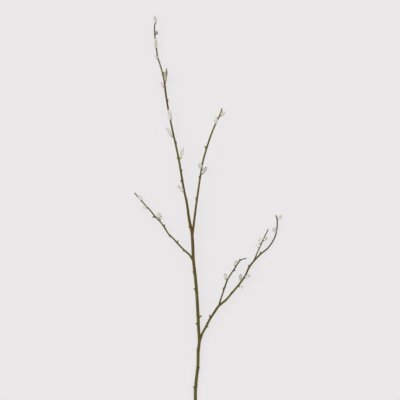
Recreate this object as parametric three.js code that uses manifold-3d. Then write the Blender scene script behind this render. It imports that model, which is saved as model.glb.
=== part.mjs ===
// A pussy-willow twig, cut at its foot and laid on a flat surface.
// Millimetres, +Z up. The twig lies along +Y, from its cut foot to the top of its leader.
// It rests on three low points: the cut foot, the tip of the left shoot and the tip of the right shoot.
import * as THREE from 'three';
import { mergeVertices } from 'three/addons/utils/BufferGeometryUtils.js';
import Module from 'manifold-3d';

const wasm = await Module();
wasm.setup();

// Driving dimensions of the wood
const RING_STEP = 12;          // spacing of the cross-sections along a shoot
const TIP_SHOULDER = 0.7;      // where a shoot's rounded tip starts, in radii before its end
const CURVE_DIVISIONS = 600;   // steps for measuring along a route

// Driving dimensions of an unopened bud
const BUD_REACH = 7;           // distance along the shoot from a bud's root up to its tip
const BUD_WIDTH = 4;
const BUD_SIDES = 6;
const BUD_SHAPE = [[0, 0], [0.8, 0.2], [1, 0.55], [0.68, 0.85], [0, 1]];   // [share of width, of length]

// Buds on the lower side of the shoots, where nothing else grows
const HIDDEN_BUD_STEP = 64;    // spacing along a shoot
const HIDDEN_BUD_PROUD = 3;    // height of the tip above the bark
const HIDDEN_BUD_TURNS = [-75, -105];   // degrees round the shoot, from its right side, in turn
const HIDDEN_BUD_FLOOR = 13;   // a shoot lower than this has none
const HIDDEN_BUD_CLEAR = 16;   // least distance to a catkin's foot

// Driving dimensions of the cup that carries a catkin
const CUP_STANDOFF = 1;        // from the bark to the bend of the cup's stalk
const CUP_LENGTH = 2.6;        // from that bend to the rim
const CUP_RADII = [1.5, 1.9, 2.4];   // inside the wood, at the bend and at the rim
const CUP_SIDES = 8;
const SEAT_GAP = 0.3;          // between a cup's rim and its catkin

// Driving dimensions of a catkin and of the tufts of hair that cover it
const CATKIN_FOOT_RADIUS = 2;
const CATKIN_SIDES = 12;       // an even number, so the tufts alternate all the way round
const CATKIN_ROWS = [0, 0.1, 0.21, 0.33, 0.45, 0.57, 0.69, 0.81, 0.92];   // shares of the length
const CATKIN_WIDEST = 0.4;     // share of the length
const TUFT_RISE = 1;
const TUFT_LEAN = 1.3;         // how far a tuft leans towards the catkin's tip

// Each shoot has a route of [x, y, z] points along its middle and diameters spaced evenly along it.
// Buds are given by [x, y] of the tip. A catkin goes from [x, y] beside the shoot to [x, y] at its tip,
// and rises by some degrees out of the plane.
const shoots = {
  leader: {
    sides: 8,
    diameters: [8.8, 8.8, 8.5, 8.4, 8.8, 8.7, 8.5, 8.7, 8, 6.3, 5.9, 5.7, 5.2, 5.1, 5.5, 4.2, 3.6, 3.2],
    route: [
      [-12.5, -12, 4.4], [-13, 22, 5], [-10.5, 56, 6.5], [-6, 95, 8.5], [-5, 134, 11], [-2, 165, 13.5],
      [-4, 202, 16], [-6, 246, 18.5], [-8.5, 291, 21], [-13, 344, 24], [-18.5, 392, 26], [-20.5, 437, 28],
      [-23, 470, 29], [-30, 504, 30], [-36.5, 549, 31], [-44, 585, 31.5], [-51.5, 627, 31.5],
      [-59, 672, 31], [-68.5, 717, 30], [-78.5, 762, 28.5], [-89.5, 818, 26], [-96.5, 862, 23.5],
      [-98.5, 882, 22.2], [-102, 902, 21], [-109, 930, 19], [-118, 959, 17.5], [-121.5, 980, 16],
      [-126, 1014, 14.5], [-127.5, 1036, 14], [-126.5, 1055, 14],
    ],
    buds: [
      [-19, 38], [-7, 43], [-1, 93], [-9.2, 144], [-12.5, 216.5], [5, 237], [-17.5, 313], [-21, 360],
      [-32.5, 487], [-36.5, 564.5], [-55, 615], [-50, 646], [-65, 680], [-66.5, 724], [-89, 842],
      [-102, 918],
    ],
    catkins: [
      { from: [-126.5, 1055], to: [-125.5, 1077], rise: 8, width: 8.5, terminal: true },
      { from: [-127, 1024], to: [-121, 1030.5], rise: 54, width: 9 },
      { from: [-121.5, 986], to: [-124.5, 1013], rise: 32, width: 8 },
      { from: [-118.5, 952.5], to: [-125.5, 967], rise: 22, width: 7 },
      { from: [-98, 890], to: [-98, 922], rise: 28, width: 5.5 },
      { from: [-101, 873], to: [-111, 890], rise: 18, width: 8.5 },
      { from: [-82, 781], to: [-87.5, 813], rise: 30, width: 9.5 },
      { from: [-75.5, 735], to: [-95.5, 764], rise: 16, width: 7.5 },
      { from: [-57, 676], to: [-47, 706], rise: 12, width: 7 },
      { from: [-44, 581], to: [-64, 602], rise: 14, width: 8 },
    ],
  },
  spur: {
    sides: 6,
    diameters: [4, 3.6, 3.2],
    route: [[-98.5, 885, 22], [-96, 899, 22], [-93, 913, 22.5], [-94, 929, 23.5]],
    buds: [],
    catkins: [],
  },
  upper: {
    sides: 8,
    diameters: [7, 6, 5.9, 5.2, 5.2, 5.1, 4.5, 4.2],
    route: [
      [-21.5, 462, 29], [-18, 487, 31], [-15.5, 507, 32.5], [-10.5, 547, 36], [-5.5, 582, 39],
      [1, 627, 42.5], [7.5, 665, 45], [15.2, 694, 46.5], [29.5, 738, 48], [43.7, 773, 48.5], [53, 792, 48.5],
      [59, 806, 48], [61.5, 817, 47.5],
    ],
    buds: [[-12, 567.5], [-2.5, 628], [13, 712]],
    catkins: [
      { from: [58, 794], to: [70, 806.5], rise: 20, width: 9 },
      { from: [43, 770], to: [46.5, 793], rise: 34, width: 8.5 },
      { from: [5, 645], to: [0, 664], rise: 42, width: 9 },
      { from: [5, 631], to: [19.5, 653.5], rise: 16, width: 9 },
    ],
  },
  left: {
    sides: 6,
    diameters: [5.6, 4.8, 4.4, 4.2, 3.8, 3.2, 2.8],
    route: [
      [-18.5, 388, 26.2], [-28, 404.5, 26], [-36.5, 413, 25.2], [-49.2, 424.3, 23.8], [-60.7, 436.3, 22],
      [-75.4, 452.6, 20], [-88, 465.1, 18], [-98.5, 481.2, 15.8], [-110, 497.6, 13.2], [-126.3, 514.3, 10.2],
      [-140.3, 531.7, 7.5], [-155.5, 548, 5.2], [-166.5, 561, 3.6], [-176, 571, 2.2], [-184, 581, 1.4],
    ],
    buds: [[-48.5, 419], [-63, 447.5], [-88, 460.5], [-100, 492], [-134, 513]],
    catkins: [
      { from: [-120, 506.5], to: [-117.5, 527], rise: 44, width: 9.5 },
      { from: [-114.5, 503], to: [-108.5, 518.5], rise: 4, width: 7 },
      { from: [-146, 538], to: [-161.5, 541], rise: 30, width: 8 },
      { from: [-163.5, 557.5], to: [-172, 573], rise: 40, width: 8 },
    ],
  },
  right: {
    sides: 8,
    diameters: [6.8, 6.4, 6.6, 6.8, 5.6, 5.6, 5.2, 5.4, 4.4, 3.8, 3.4, 3.4],
    route: [
      [-1.5, 163, 13.5], [6.5, 186, 15], [15, 202, 16], [26.4, 223.7, 17.5], [40.4, 245.7, 19], [52.5, 263, 20],
      [71.8, 279.3, 20.5], [90.9, 301.3, 20.5], [110.2, 324.4, 20], [126.5, 347.7, 18.5], [137, 370, 16.5],
      [153.5, 392, 14], [171.4, 409.6, 11.5], [188.9, 424.1, 10], [201.9, 441.2, 8], [210.9, 458.8, 6],
      [215.5, 479, 4.4], [216.5, 498, 3], [215, 511, 2.2], [211.5, 517.5, 1.7],
    ],
    buds: [[24, 207], [27, 239.5], [90, 304], [137, 379], [170.5, 415.5]],
    catkins: [
      { from: [217, 505], to: [227.5, 516.5], rise: 32, width: 9 },
      { from: [214.5, 470], to: [207, 481.5], rise: 58, width: 9 },
      { from: [124, 341], to: [141, 352], rise: 22, width: 8 },
      { from: [114, 332], to: [114.5, 354], rise: 20, width: 9.5 },
      { from: [107, 318], to: [120.5, 315.5], rise: 30, width: 8 },
    ],
  },
  inner: {
    sides: 6,
    diameters: [4.8, 4.2, 4.4, 4.6, 4, 3.6, 3],
    route: [
      [51.5, 260, 19.5], [57.5, 280, 22.5], [63.5, 298, 25.5], [69.3, 316, 28.5], [76.5, 336, 31.5],
      [86.5, 353, 34], [98, 370, 36.5], [107, 384, 38], [114, 392, 39], [122, 395, 39.5], [131, 397.3, 40],
    ],
    buds: [[65, 315.5], [99.5, 364.5], [113, 396]],
    catkins: [
      { from: [99.5, 375], to: [102, 393], rise: 24, width: 8.5 },
      { from: [76, 336], to: [69, 356], rise: 14, width: 9 },
    ],
  },
  second: {
    sides: 6,
    diameters: [3.6, 3.2, 3, 3.2, 3],
    route: [
      [149, 386, 14.8], [156.5, 403, 17.5], [166.5, 426, 21.5], [172, 437, 23.5], [176.9, 449.3, 25.5],
      [186.2, 467.8, 28], [191.4, 478.8, 29.5],
    ],
    buds: [],
    catkins: [
      { from: [178, 445], to: [188.5, 456], rise: 22, width: 7.5 },
      { from: [172, 437], to: [165, 454], rise: 22, width: 8.5 },
      { from: [166.5, 424], to: [160, 437.5], rise: 35, width: 8.5 },
    ],
  },
};

const UP = new THREE.Vector3(0, 0, 1);

// The middle of a route at a share u of its length, with the directions along, to the right and upwards.
function stationAt(curve, u) {
  const along = curve.getTangentAt(u);
  const side = new THREE.Vector3().crossVectors(along, UP).normalize();
  const up = new THREE.Vector3().crossVectors(side, along);
  return { point: curve.getPointAt(u), along, side, up };
}

// Bends a turned body, whose axis is its y axis, along a curve.
function bend(geometry, curve) {
  const length = curve.getLength();
  const position = geometry.getAttribute('position');
  const vertex = new THREE.Vector3();
  for (let i = 0; i < position.count; i += 1) {
    vertex.fromBufferAttribute(position, i);
    const station = stationAt(curve, THREE.MathUtils.clamp(vertex.y / length, 0, 1));
    station.point.addScaledVector(station.side, vertex.x).addScaledVector(station.up, vertex.z);
    position.setXYZ(i, station.point.x, station.point.y, station.point.z);
  }
  return geometry;
}

// A body turned from [radius, height] points that start and end on the axis, bent along a curve.
function turned(profile, sides, curve) {
  const outline = profile.map(([radius, height]) => new THREE.Vector2(radius, height));
  return bend(new THREE.LatheGeometry(outline, sides), curve);
}

// Leaves only the positions, with shared vertices merged and no triangle without area.
function welded(geometry) {
  geometry.deleteAttribute('normal');
  geometry.deleteAttribute('uv');
  const merged = mergeVertices(geometry);
  const index = merged.getIndex().array;
  const kept = [];
  for (let i = 0; i < index.length; i += 3) {
    const [a, b, c] = index.slice(i, i + 3);
    if (a !== b && b !== c && c !== a) kept.push(a, b, c);
  }
  merged.setIndex(kept);
  return merged;
}

function solidOf(geometry) {
  const closed = welded(geometry);
  return new wasm.Manifold(new wasm.Mesh({
    numProp: 3,
    vertProperties: new Float32Array(closed.getAttribute('position').array),
    triVerts: new Uint32Array(closed.getIndex().array),
  }));
}

function geometryOf(solid) {
  const mesh = solid.getMesh();
  const geometry = new THREE.BufferGeometry();
  geometry.setAttribute('position', new THREE.BufferAttribute(mesh.vertProperties, 3));
  geometry.setIndex(new THREE.BufferAttribute(mesh.triVerts, 1));
  geometry.computeVertexNormals();
  return geometry;
}

function routeCurve(route) {
  const curve = new THREE.CatmullRomCurve3(route.map((point) => new THREE.Vector3(...point)));
  curve.arcLengthDivisions = CURVE_DIVISIONS;
  return curve;
}

// The diameter of a shoot at a share u of its length, from values spaced evenly along it.
function diameterAt(diameters, u) {
  const place = u * (diameters.length - 1);
  const before = Math.min(Math.floor(place), diameters.length - 2);
  return THREE.MathUtils.lerp(diameters[before], diameters[before + 1], place - before);
}

// The share of a route's length that is nearest to an [x, y] point in plan.
function nearestShare(curve, [x, y]) {
  let best = 0;
  let least = Infinity;
  for (let i = 0; i <= CURVE_DIVISIONS; i += 1) {
    const point = curve.getPointAt(i / CURVE_DIVISIONS);
    const distance = Math.hypot(point.x - x, point.y - y);
    if (distance < least) {
      least = distance;
      best = i / CURVE_DIVISIONS;
    }
  }
  return best;
}

// A tapering shoot with a flat cut foot and a rounded tip.
function shootSolid(curve, diameters, sides) {
  const length = curve.getLength();
  const tipRadius = diameters.at(-1) / 2;
  const body = length - TIP_SHOULDER * tipRadius;
  const steps = Math.ceil(body / RING_STEP);
  const profile = [[0, 0]];
  for (let i = 0; i <= steps; i += 1) {
    const height = (body * i) / steps;
    profile.push([diameterAt(diameters, height / length) / 2, height]);
  }
  profile.push([0.6 * tipRadius, length - 0.15 * tipRadius], [0, length]);
  return solidOf(turned(profile, sides, curve));
}

// A pointed bud from a root inside the wood to its tip.
function budSolid(root, tip) {
  const axis = new THREE.LineCurve3(root, tip);
  const length = axis.getLength();
  const profile = BUD_SHAPE.map(([width, height]) => [(width * BUD_WIDTH) / 2, height * length]);
  return solidOf(turned(profile, BUD_SIDES, axis));
}

// The buds that stand out to the left and right of a shoot.
function sideBuds(curve, buds) {
  const length = curve.getLength();
  return buds.map(([x, y]) => {
    const rootShare = Math.max(nearestShare(curve, [x, y]) - BUD_REACH / length, 0);
    const root = curve.getPointAt(rootShare);
    return budSolid(root, new THREE.Vector3(x, y, root.z));
  });
}

// The buds on the lower side of a shoot, at even steps, clear of the catkins' feet.
function hiddenBuds(curve, diameters, feet) {
  const length = curve.getLength();
  const solids = [];
  let turn = 0;
  for (let s = HIDDEN_BUD_STEP; s < length - HIDDEN_BUD_STEP / 2; s += HIDDEN_BUD_STEP) {
    const station = stationAt(curve, s / length);
    const clear = feet.every((foot) => foot.distanceTo(station.point) > HIDDEN_BUD_CLEAR);
    if (station.point.z > HIDDEN_BUD_FLOOR && clear) {
      const angle = THREE.MathUtils.degToRad(HIDDEN_BUD_TURNS[turn % HIDDEN_BUD_TURNS.length]);
      const reach = diameterAt(diameters, s / length) / 2 + HIDDEN_BUD_PROUD;
      const tip = station.point.clone();
      tip.addScaledVector(station.side, reach * Math.cos(angle));
      tip.addScaledVector(station.up, reach * Math.sin(angle));
      solids.push(budSolid(curve.getPointAt((s - BUD_REACH) / length), tip));
      turn += 1;
    }
  }
  return solids;
}

// Where a catkin leaves its shoot, bends outwards, sits on its cup's rim and ends.
function catkinLine(curve, diameters, catkin) {
  const share = catkin.terminal ? 1 : nearestShare(curve, catkin.from);
  const station = stationAt(curve, share);
  const run = Math.hypot(catkin.to[0] - catkin.from[0], catkin.to[1] - catkin.from[1]);
  const height = station.point.z + run * Math.tan(THREE.MathUtils.degToRad(catkin.rise));
  const tip = new THREE.Vector3(catkin.to[0], catkin.to[1], height);
  const bendPoint = station.point.clone();
  if (!catkin.terminal) {
    const outward = tip.clone().sub(station.point);
    outward.addScaledVector(station.along, -outward.dot(station.along)).normalize();
    bendPoint.addScaledVector(outward, diameterAt(diameters, share) / 2 + CUP_STANDOFF);
  }
  const axis = tip.clone().sub(bendPoint).normalize();
  const rim = bendPoint.clone().addScaledVector(axis, CUP_LENGTH);
  const seat = rim.clone().addScaledVector(axis, SEAT_GAP);
  const root = catkin.terminal ? bendPoint.clone().addScaledVector(axis, -CUP_LENGTH) : station.point;
  return { root, bendPoint, rim, seat, tip };
}

// The brown cup, with its stalk, that carries a catkin.
function cupSolid({ root, bendPoint, rim }) {
  const curve = new THREE.QuadraticBezierCurve3(root, bendPoint, rim);
  const length = curve.getLength();
  const [inside, middle, edge] = CUP_RADII;
  const profile = [[0, 0], [inside, 0], [middle, length / 2], [edge, length], [0, length]];
  return solidOf(turned(profile, CUP_SIDES, curve));
}

// The radius of a catkin's body, without its tufts, at a share t of its length.
function catkinRadius(t, fullRadius) {
  if (t < CATKIN_WIDEST) {
    const swell = Math.sin((Math.PI / 2) * (t / CATKIN_WIDEST));
    return THREE.MathUtils.lerp(CATKIN_FOOT_RADIUS, fullRadius, swell);
  }
  const taper = ((t - CATKIN_WIDEST) / (1 - CATKIN_WIDEST)) ** 1.3;
  return fullRadius * Math.cos((Math.PI / 2) * taper);
}

// A catkin with every second corner of its net of faces drawn out into a tuft that leans to the tip.
function catkinGeometry({ seat, tip }, width) {
  const axis = new THREE.LineCurve3(seat, tip);
  const length = axis.getLength();
  const fullRadius = width / 2 - TUFT_RISE / 2;
  const profile = [[0, 0], ...CATKIN_ROWS.map((t) => [catkinRadius(t, fullRadius), t * length]), [0, length]];
  const outline = profile.map(([radius, height]) => new THREE.Vector2(radius, height));
  const geometry = new THREE.LatheGeometry(outline, CATKIN_SIDES);
  const position = geometry.getAttribute('position');
  const rows = profile.length;
  const faces = [];
  for (let i = 0; i <= CATKIN_SIDES; i += 1) {
    for (let j = 0; j < rows; j += 1) {
      const corner = i * rows + j;
      const isTuft = (i + j) % 2 === 0 && j > 1 && j < rows - 1;
      if (isTuft) {
        const radius = profile[j][0];
        const swell = (radius + TUFT_RISE) / radius;
        position.setX(corner, position.getX(corner) * swell);
        position.setZ(corner, position.getZ(corner) * swell);
        position.setY(corner, Math.min(position.getY(corner) + TUFT_LEAN, length));
      }
      if (i < CATKIN_SIDES && j < rows - 1) {
        const [a, b, c, d] = [corner, corner + rows, corner + rows + 1, corner + 1];
        faces.push(...((i + j) % 2 === 0 ? [a, b, d, c, d, b] : [a, b, c, a, c, d]));
      }
    }
  }
  geometry.setIndex(faces);
  const closed = welded(bend(geometry, axis));
  closed.computeVertexNormals();
  return closed;
}

// The wood, fused from its shoots, buds and cups, and the line of each catkin on it
const woodSolids = [];
const catkins = [];
for (const { route, diameters, sides, buds, catkins: heads } of Object.values(shoots)) {
  const curve = routeCurve(route);
  const lines = heads.map((head) => ({ ...catkinLine(curve, diameters, head), width: head.width }));
  woodSolids.push(shootSolid(curve, diameters, sides));
  woodSolids.push(...sideBuds(curve, buds));
  woodSolids.push(...hiddenBuds(curve, diameters, lines.map((line) => line.root)));
  woodSolids.push(...lines.map(cupSolid));
  catkins.push(...lines);
}
const wood = woodSolids.reduce((joined, next) => joined.add(next));

const twig = new THREE.Group();

const stem = new THREE.Mesh(
  geometryOf(wood),
  new THREE.MeshStandardMaterial({ color: 0x5f5030, roughness: 0.75, metalness: 0 }),
);
stem.name = 'stem';
twig.add(stem);

catkins.forEach((line, i) => {
  const head = new THREE.Mesh(
    catkinGeometry(line, line.width),
    new THREE.MeshStandardMaterial({ color: 0xcfcec6, roughness: 0.95, metalness: 0 }),
  );
  head.name = `catkin_${String(i + 1).padStart(2, '0')}`;
  twig.add(head);
});

// The origin is under the middle of the twig, on the surface that it lies on.
const box = new THREE.Box3().setFromObject(twig);
const middle = box.getCenter(new THREE.Vector3());
twig.position.set(-middle.x, -middle.y, -box.min.z);

export default twig;
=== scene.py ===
import math

import bpy
import numpy as np
from mathutils.kdtree import KDTree
from numpy.linalg import norm
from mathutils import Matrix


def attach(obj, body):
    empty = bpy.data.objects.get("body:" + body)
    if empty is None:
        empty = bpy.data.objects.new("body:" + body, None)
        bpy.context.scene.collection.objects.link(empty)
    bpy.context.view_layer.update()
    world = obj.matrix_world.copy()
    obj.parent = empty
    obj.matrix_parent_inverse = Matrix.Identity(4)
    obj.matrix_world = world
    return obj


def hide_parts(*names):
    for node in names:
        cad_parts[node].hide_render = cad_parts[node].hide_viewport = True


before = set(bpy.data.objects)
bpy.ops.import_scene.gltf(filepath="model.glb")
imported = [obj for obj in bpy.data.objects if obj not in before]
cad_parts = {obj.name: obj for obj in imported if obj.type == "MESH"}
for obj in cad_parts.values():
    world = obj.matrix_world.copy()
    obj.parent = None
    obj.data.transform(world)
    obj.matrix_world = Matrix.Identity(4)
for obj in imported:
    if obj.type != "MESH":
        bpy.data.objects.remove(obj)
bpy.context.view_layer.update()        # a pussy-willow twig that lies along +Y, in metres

# Millimetres from here on, unless a line says otherwise. Blender gets metres.
MM = 0.001
UP = np.array([0.0, 0.0, 1.0])
SEED = 28

# The photo's frame, and where the middle of its lower edge lies in the twig's frame.
# The routes below are measured from that point, to the right and up.
PHOTO_SPAN = 1120.0
PHOTO_FOOT = np.array([-22.51, -532.47, 0.0])

# Camera, far off and straight above
LENS = 600.0
SENSOR = 36.0
FRAME_HEIGHT = 25.0  # at which the view spans the photo's frame

# Skin of a shoot
SPLINE_STEPS = 24  # points between two points of a route
AXIS_STEP = 1.0  # before and after a place, to find its direction
STEEP = 0.05  # level part below which a direction counts as upright
RING_STEP = 1.6
SIDES_PER_MM = 4.0  # for each millimetre of a shoot's diameter
LEAST_SIDES = 20
SKIN_START = 0.5  # the bark starts this far above the cut
BARK_GLOSS = 0.45
NODE_SWELL = 0.55  # height of the cushion under a bud or a catkin
NODE_REACH = 3.0
NODE_ROUND = 0.4  # share of that height that goes all round the shoot
NODE_AHEAD = 1.0  # from a bud's root to the middle of its cushion
RIBS = ((3, 0.10), (5, 0.08), (8, 0.05))  # ribs round a shoot and their height
RIB_DRIFT = 0.03  # radians that a rib turns in a millimetre, at most
RIB_FADE = 0.4  # swing of a rib's height to either side, as a share
RIB_WAVE = 23.0  # along the shoot, for a radian of that wave
FLARE = 0.12  # widening at the foot of a side shoot, as a share
FLARE_REACH = 10.0
TIP_BUD = (
    (0.0, 0.0), (0.4, 0.42), (1.4, 0.8), (2.8, 1.05), (4.4, 0.98), (5.4, 0.84), (6.5, 1.0),
)  # distance back from the shoot's tip, share of its radius
TIP_ROWS = 12
TIP_CROWDING = 1.2  # power that crowds the rows towards the tip
FORK_PLACE = 2.2  # from a side shoot's start to its crease, in radii
FORK_REACH = 5.0  # the crease of a fork is smoothed this far
FORK_EDGE = 0.05  # smoothing weaker than this is left out
FORK_PULL = 0.5  # share of the way to the neighbours, each pass
FORK_PASSES = 14

# Unopened buds
BUD_REACH = 7.0  # along the shoot, from a bud's root to its tip
BUD_WIDTH = 4.0
BUD_SIDES = 14
BUD_SHAPE = (
    (0.0, 0.0), (0.06, 0.4), (0.16, 0.7), (0.3, 0.9), (0.46, 1.0), (0.58, 0.99), (0.62, 0.9), (0.72, 0.86),
    (0.82, 0.7), (0.9, 0.5), (0.96, 0.28), (1.0, 0.0),
)  # share of the length, share of the width
BUD_BULGE = 0.1  # bow of a bud's middle, as a share of its reach outwards
BUD_TAN = 0.7  # how far a bud's tip goes from its shoot's colour to brown
BUD_GLOSS = 0.75
HIDDEN_BUD_STEP = 64.0  # along the shoot, for the buds on its lower side
HIDDEN_BUD_PROUD = 3.0  # from the bark out to the tip
HIDDEN_BUD_TURNS = (-75, -105)  # degrees up from the shoot's right side, in turn
HIDDEN_BUD_FLOOR = 13.0  # least height of the shoot's middle
HIDDEN_BUD_CLEAR = 16.0  # least distance from a catkin's root

# Leaf scar under a bud, an ellipsoid sunk into the bark
SCAR_SIZE = (1.7, 0.75, 0.55)  # half widths across, along and out of the bark
SCAR_LIFT = 0.2  # from the bark out to the scar's middle
SCAR_BACK = 1.6  # from the bud's root back along the shoot
SCAR_FIRST = 1.0  # least distance from the shoot's start
SCAR_SIDES = 12
SCAR_ROWS = 7
ROUGH_GLOSS = 0.1  # of scars and pores

# Lenticels, small pale pores raised on the bark
PORE_STEP = 4.2  # mean spacing along a shoot
PORE_SHIFT = 0.3  # share of that spacing, to either side
PORE_ENDS = (1, 2)  # steps left bare at a shoot's foot and tip
PORE_HALF_WIDTHS = (0.32, 0.6)  # across and along the shoot
PORE_SIZES = (0.65, 1.25)  # least and most, as shares of those widths
PORE_HEIGHT = 0.16
PORE_SHAPE = (
    (0.0, -0.3), (1.0, -0.1), (0.6, 0.85 * PORE_HEIGHT), (0.0, PORE_HEIGHT),
)  # share of the width, height over the bark
PORE_SIDES = 8
PORE_TANS = (0.35, 0.85)  # how far a pore goes from the bark's colour to tan

# Cup, stalk and bud scales under a catkin
SEAT_GAP = 0.3  # from the cup's rim to the catkin
TERMINAL_GAP = 0.5  # in radii: a cup so near to a shoot's middle is on its tip
STRAIGHT = 0.001  # a stalk that bends less has no plane of its own
CUP_LENGTH = 2.6
CUP_RADII = (1.5, 1.9, 2.4)  # at the root, half way and at the rim
CUP_SIDES = 16
CUP_ROWS = 9
CUP_HOLLOW = 0.45
CUP_LIP = 0.8  # inner width of the rim, as a share
CUP_FADE = (-0.6, 2.0)  # from the bark's colour, 0, to the scales', 1
CUP_GRAIN_STEP = 0.4
CUP_GLOSS = 0.5
SCALE_TURNS = (20, 140, 260)  # degrees round the catkin
SCALE_SPREAD = 46  # degrees to each side of a scale's middle, at its foot
SCALE_ROUNDING = 2.2  # power in the curve of a scale's edge
SCALE_TIP = 0.004  # least width of its tip, as a share, squared
SCALE_LENGTHS = (1.8, 1.5, 1.3)
SCALE_SINK = 1.1  # below the cup's rim
SCALE_FOOT = 0.35  # how far a scale's foot stands inside the rim
SCALE_LIFT = 0.7  # over the catkin's core
SCALE_THICK = 0.3
SCALE_GRID = (8, 7)  # rows, columns
SCALE_GLOSS = 0.6

# Fur: a core with hairs in tufts
CORE_INSET = 1.2  # from the solid's tufts in to the core
CORE_TIP_INSET = 1.4
CORE_FOOT = 1.7  # radius at the foot
CORE_WIDEST = 0.4  # share of the length at which it is widest
CORE_TAPER = 1.5  # power that keeps it full beyond that place
CORE_SIDES = 16
CORE_ROWS = 12
CORE_BUMPS = 8  # round the core
CORE_BUMP_HEIGHT = 0.05  # as a share of the radius
CORE_SHADE = 0.5  # middle of the hairs' shades
AREA_STEPS = 200  # rings that add up to the core's area
SLOPE_STEP = 0.01  # share of the length over which a slope is taken
TUFT_DENSITY = 0.5  # tufts on a square millimetre of core
HAIRS_PER_TUFT = 15
TUFT_SPREAD = 0.8  # of the roots round the middle of their tuft
TUFT_SHADE = 0.6  # share of a hair's shade that is its tuft's
TUFT_LEAN = 30  # degrees of lean for a tuft's sway of 1
TOP_ROOT = 0.995  # highest root, as a share of the core's length
LEAST_RING = 0.6  # least radius round which roots are spread
HAIR_LENGTH = 2.7
HAIR_LENGTHS = (0.75, 1.15)  # least and most, as shares of it
HAIR_WIDTHS = (0.125, 0.1)  # half widths at the root and half way
HAIR_FLATNESS = 0.35  # thickness of a hair, as a share of its width
HAIR_SHARES = (0, 0, 0, 0.5, 0.5, 0.5, 1)  # how far along a hair its vertices lie
HAIR_SIDES = (-1, 1, 0, -1, 1, 0, 0)  # left, right or between
HAIR_LEANS = (56, 76)  # degrees out of upright towards the tip, lower and upper half
FOOT_LEAN = 0.1  # share of that lean at the foot
FOOT_REACH = 0.22  # share of the length over which it grows
FOOT_HAIR = 0.8  # length of the hairs at the foot, as a share
LEAN_SPREAD = 8  # degrees
SWAY = 0.12  # of a tuft, as a share
HAIR_SWAY = 0.5  # of a hair in its tuft, as a share of that sway
HAIR_SINK = 0.25

# Map of the hairs for baking, in shares of its width and height
BAKE_WIDTH = 0.02  # half width of a hair
BAKE_SPAN = 0.9  # width over which the shades are spread
BAKE_MARGIN = 0.02  # beyond the roots and the tips

# Bark: scale and detail of each noise, the span of it that counts, and what that turns into
GRAIN_STRETCH = 7.0  # along a shoot
STREAK_NOISE = (1.3, 5)
STREAK_SPAN = (0.3, 0.7)
STREAK_SHADES = (0.7, 1.28)
FISSURE_NOISE = (4.5, 3)
FISSURE_SPAN = (0.25, 0.5)
FISSURE_SHADES = (0.75, 1.0)
PATCH_NOISE = (0.24, 2)
PATCH_SPAN = (0.35, 0.65)
PATCH_SHADES = (1.16, 0.84)
RUDDY_SPAN = (0.45, 0.65)
RUDDY_SHARES = (0.0, 0.25)  # how far the darker patches turn red-brown
MOTTLE_NOISE = (160, 3)
MOTTLE_SPAN = (0.35, 0.65)
MOTTLE_SHADES = (0.86, 1.14)
FILM_NOISE = (60, 2)
FILM_SPAN = (0.45, 0.7)
FILM_SHARES = (0.0, 0.4)  # how far a green film covers the bark
BARK_ROUGHNESS = (0.55, 0.75)
GLOSS_EFFECT = 0.25  # roughness that full gloss takes away
RELIEF = 0.0002  # metres
RELIEF_STRENGTH = 0.5
BARK_SPECULAR = 0.15

# Fur: shades along a hair and from tuft to tuft
WHOLE = (0.0, 1.0)
ROOT_HALF = (0.0, 0.5)
ROOT_SHADES = (0.92, 1.0)
TUFT_SHADES = (0.95, 1.02)
FUR_ROUGHNESS = (0.75, 0.55)
FUR_SHEEN = 0.25


def srgb(red, green, blue):
    """A colour in steps of 0 to 255, as the linear values that shaders take."""
    steps = np.array([red, green, blue]) / 255
    return np.where(steps <= 0.04045, steps / 12.92, ((steps + 0.055) / 1.055) ** 2.4)


# Colours of the wood
DARK_OLIVE = srgb(77, 67, 10)
RED_BROWN = srgb(82, 58, 9)
ORANGE_BROWN = srgb(93, 70, 11)
BROWN = srgb(74, 60, 3)
OLIVE = srgb(79, 75, 3)
GREEN = srgb(67, 75, 2)
ASH = srgb(116, 115, 76)
DARK_GREEN = srgb(51, 60, 2)
GREY_GREEN = srgb(78, 84, 6)
YELLOW_GREEN = srgb(109, 107, 8)
SAGE = srgb(94, 97, 8)
GREY_BROWN = srgb(82, 75, 12)
PURPLE_BROWN = srgb(82, 61, 28)
BUD_BROWN = srgb(74, 56, 14)
BUD_DARK = srgb(48, 36, 18)
SCAR_BROWN = srgb(62, 50, 28)
PORE_TAN = srgb(142, 118, 72)
SCALE_BROWN = srgb(172, 160, 124)
SCALE_PALE = srgb(212, 205, 182)
PITH = srgb(120, 88, 54)
CUT_WOOD = srgb(214, 196, 150)
CUT_GREEN = srgb(116, 124, 66)

# Cut foot of the stem, from the pith to the bark: share of the radius, depth and colour
CUT_ROWS = (
    (0.0, 0.25, PITH), (0.14, 0.2, PITH), (0.17, 0.05, CUT_WOOD), (0.5, 0.0, CUT_WOOD),
    (0.8, 0.0, CUT_WOOD), (0.83, 0.08, CUT_GREEN), (0.95, 0.05, CUT_GREEN), (0.98, 0.25, CUT_GREEN),
)

# Colours of the fur
SILVER = srgb(236, 234, 225)
BEIGE = srgb(206, 197, 172)
GREENISH = srgb(232, 233, 216)
ROSY = srgb(238, 232, 228)
DUSKY = srgb(176, 176, 168)
# the silver fur darkened, as painted shade
SHADED_SILVER = srgb(218, 216, 206)
# the silver fur lightened, as painted light that lifts the shade among the hairs
LIT_SILVER = srgb(247, 246, 238)
COOL = srgb(222, 220, 221)
STRAW = srgb(221, 221, 199)

# Catkins that are not silver: some of other hues, some with the silver fur darkened as painted shade, some
# with it lightened as painted light
TONES = {
    1: COOL, 2: DUSKY, 3: GREENISH, 4: STRAW, 5: BEIGE, 6: ROSY, 11: ROSY, 14: SHADED_SILVER, 15: LIT_SILVER, 16: LIT_SILVER,
    17: GREENISH, 20: LIT_SILVER, 21: ROSY, 22: SHADED_SILVER, 24: GREENISH, 26: STRAW, 27: LIT_SILVER, 28: LIT_SILVER,
}

# A catkin that has only half opened, still clasped by long dark scales
HALF_OPEN = 2
HALF_OPEN_SCALES = (7.5, 6.0, 5.0)

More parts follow.
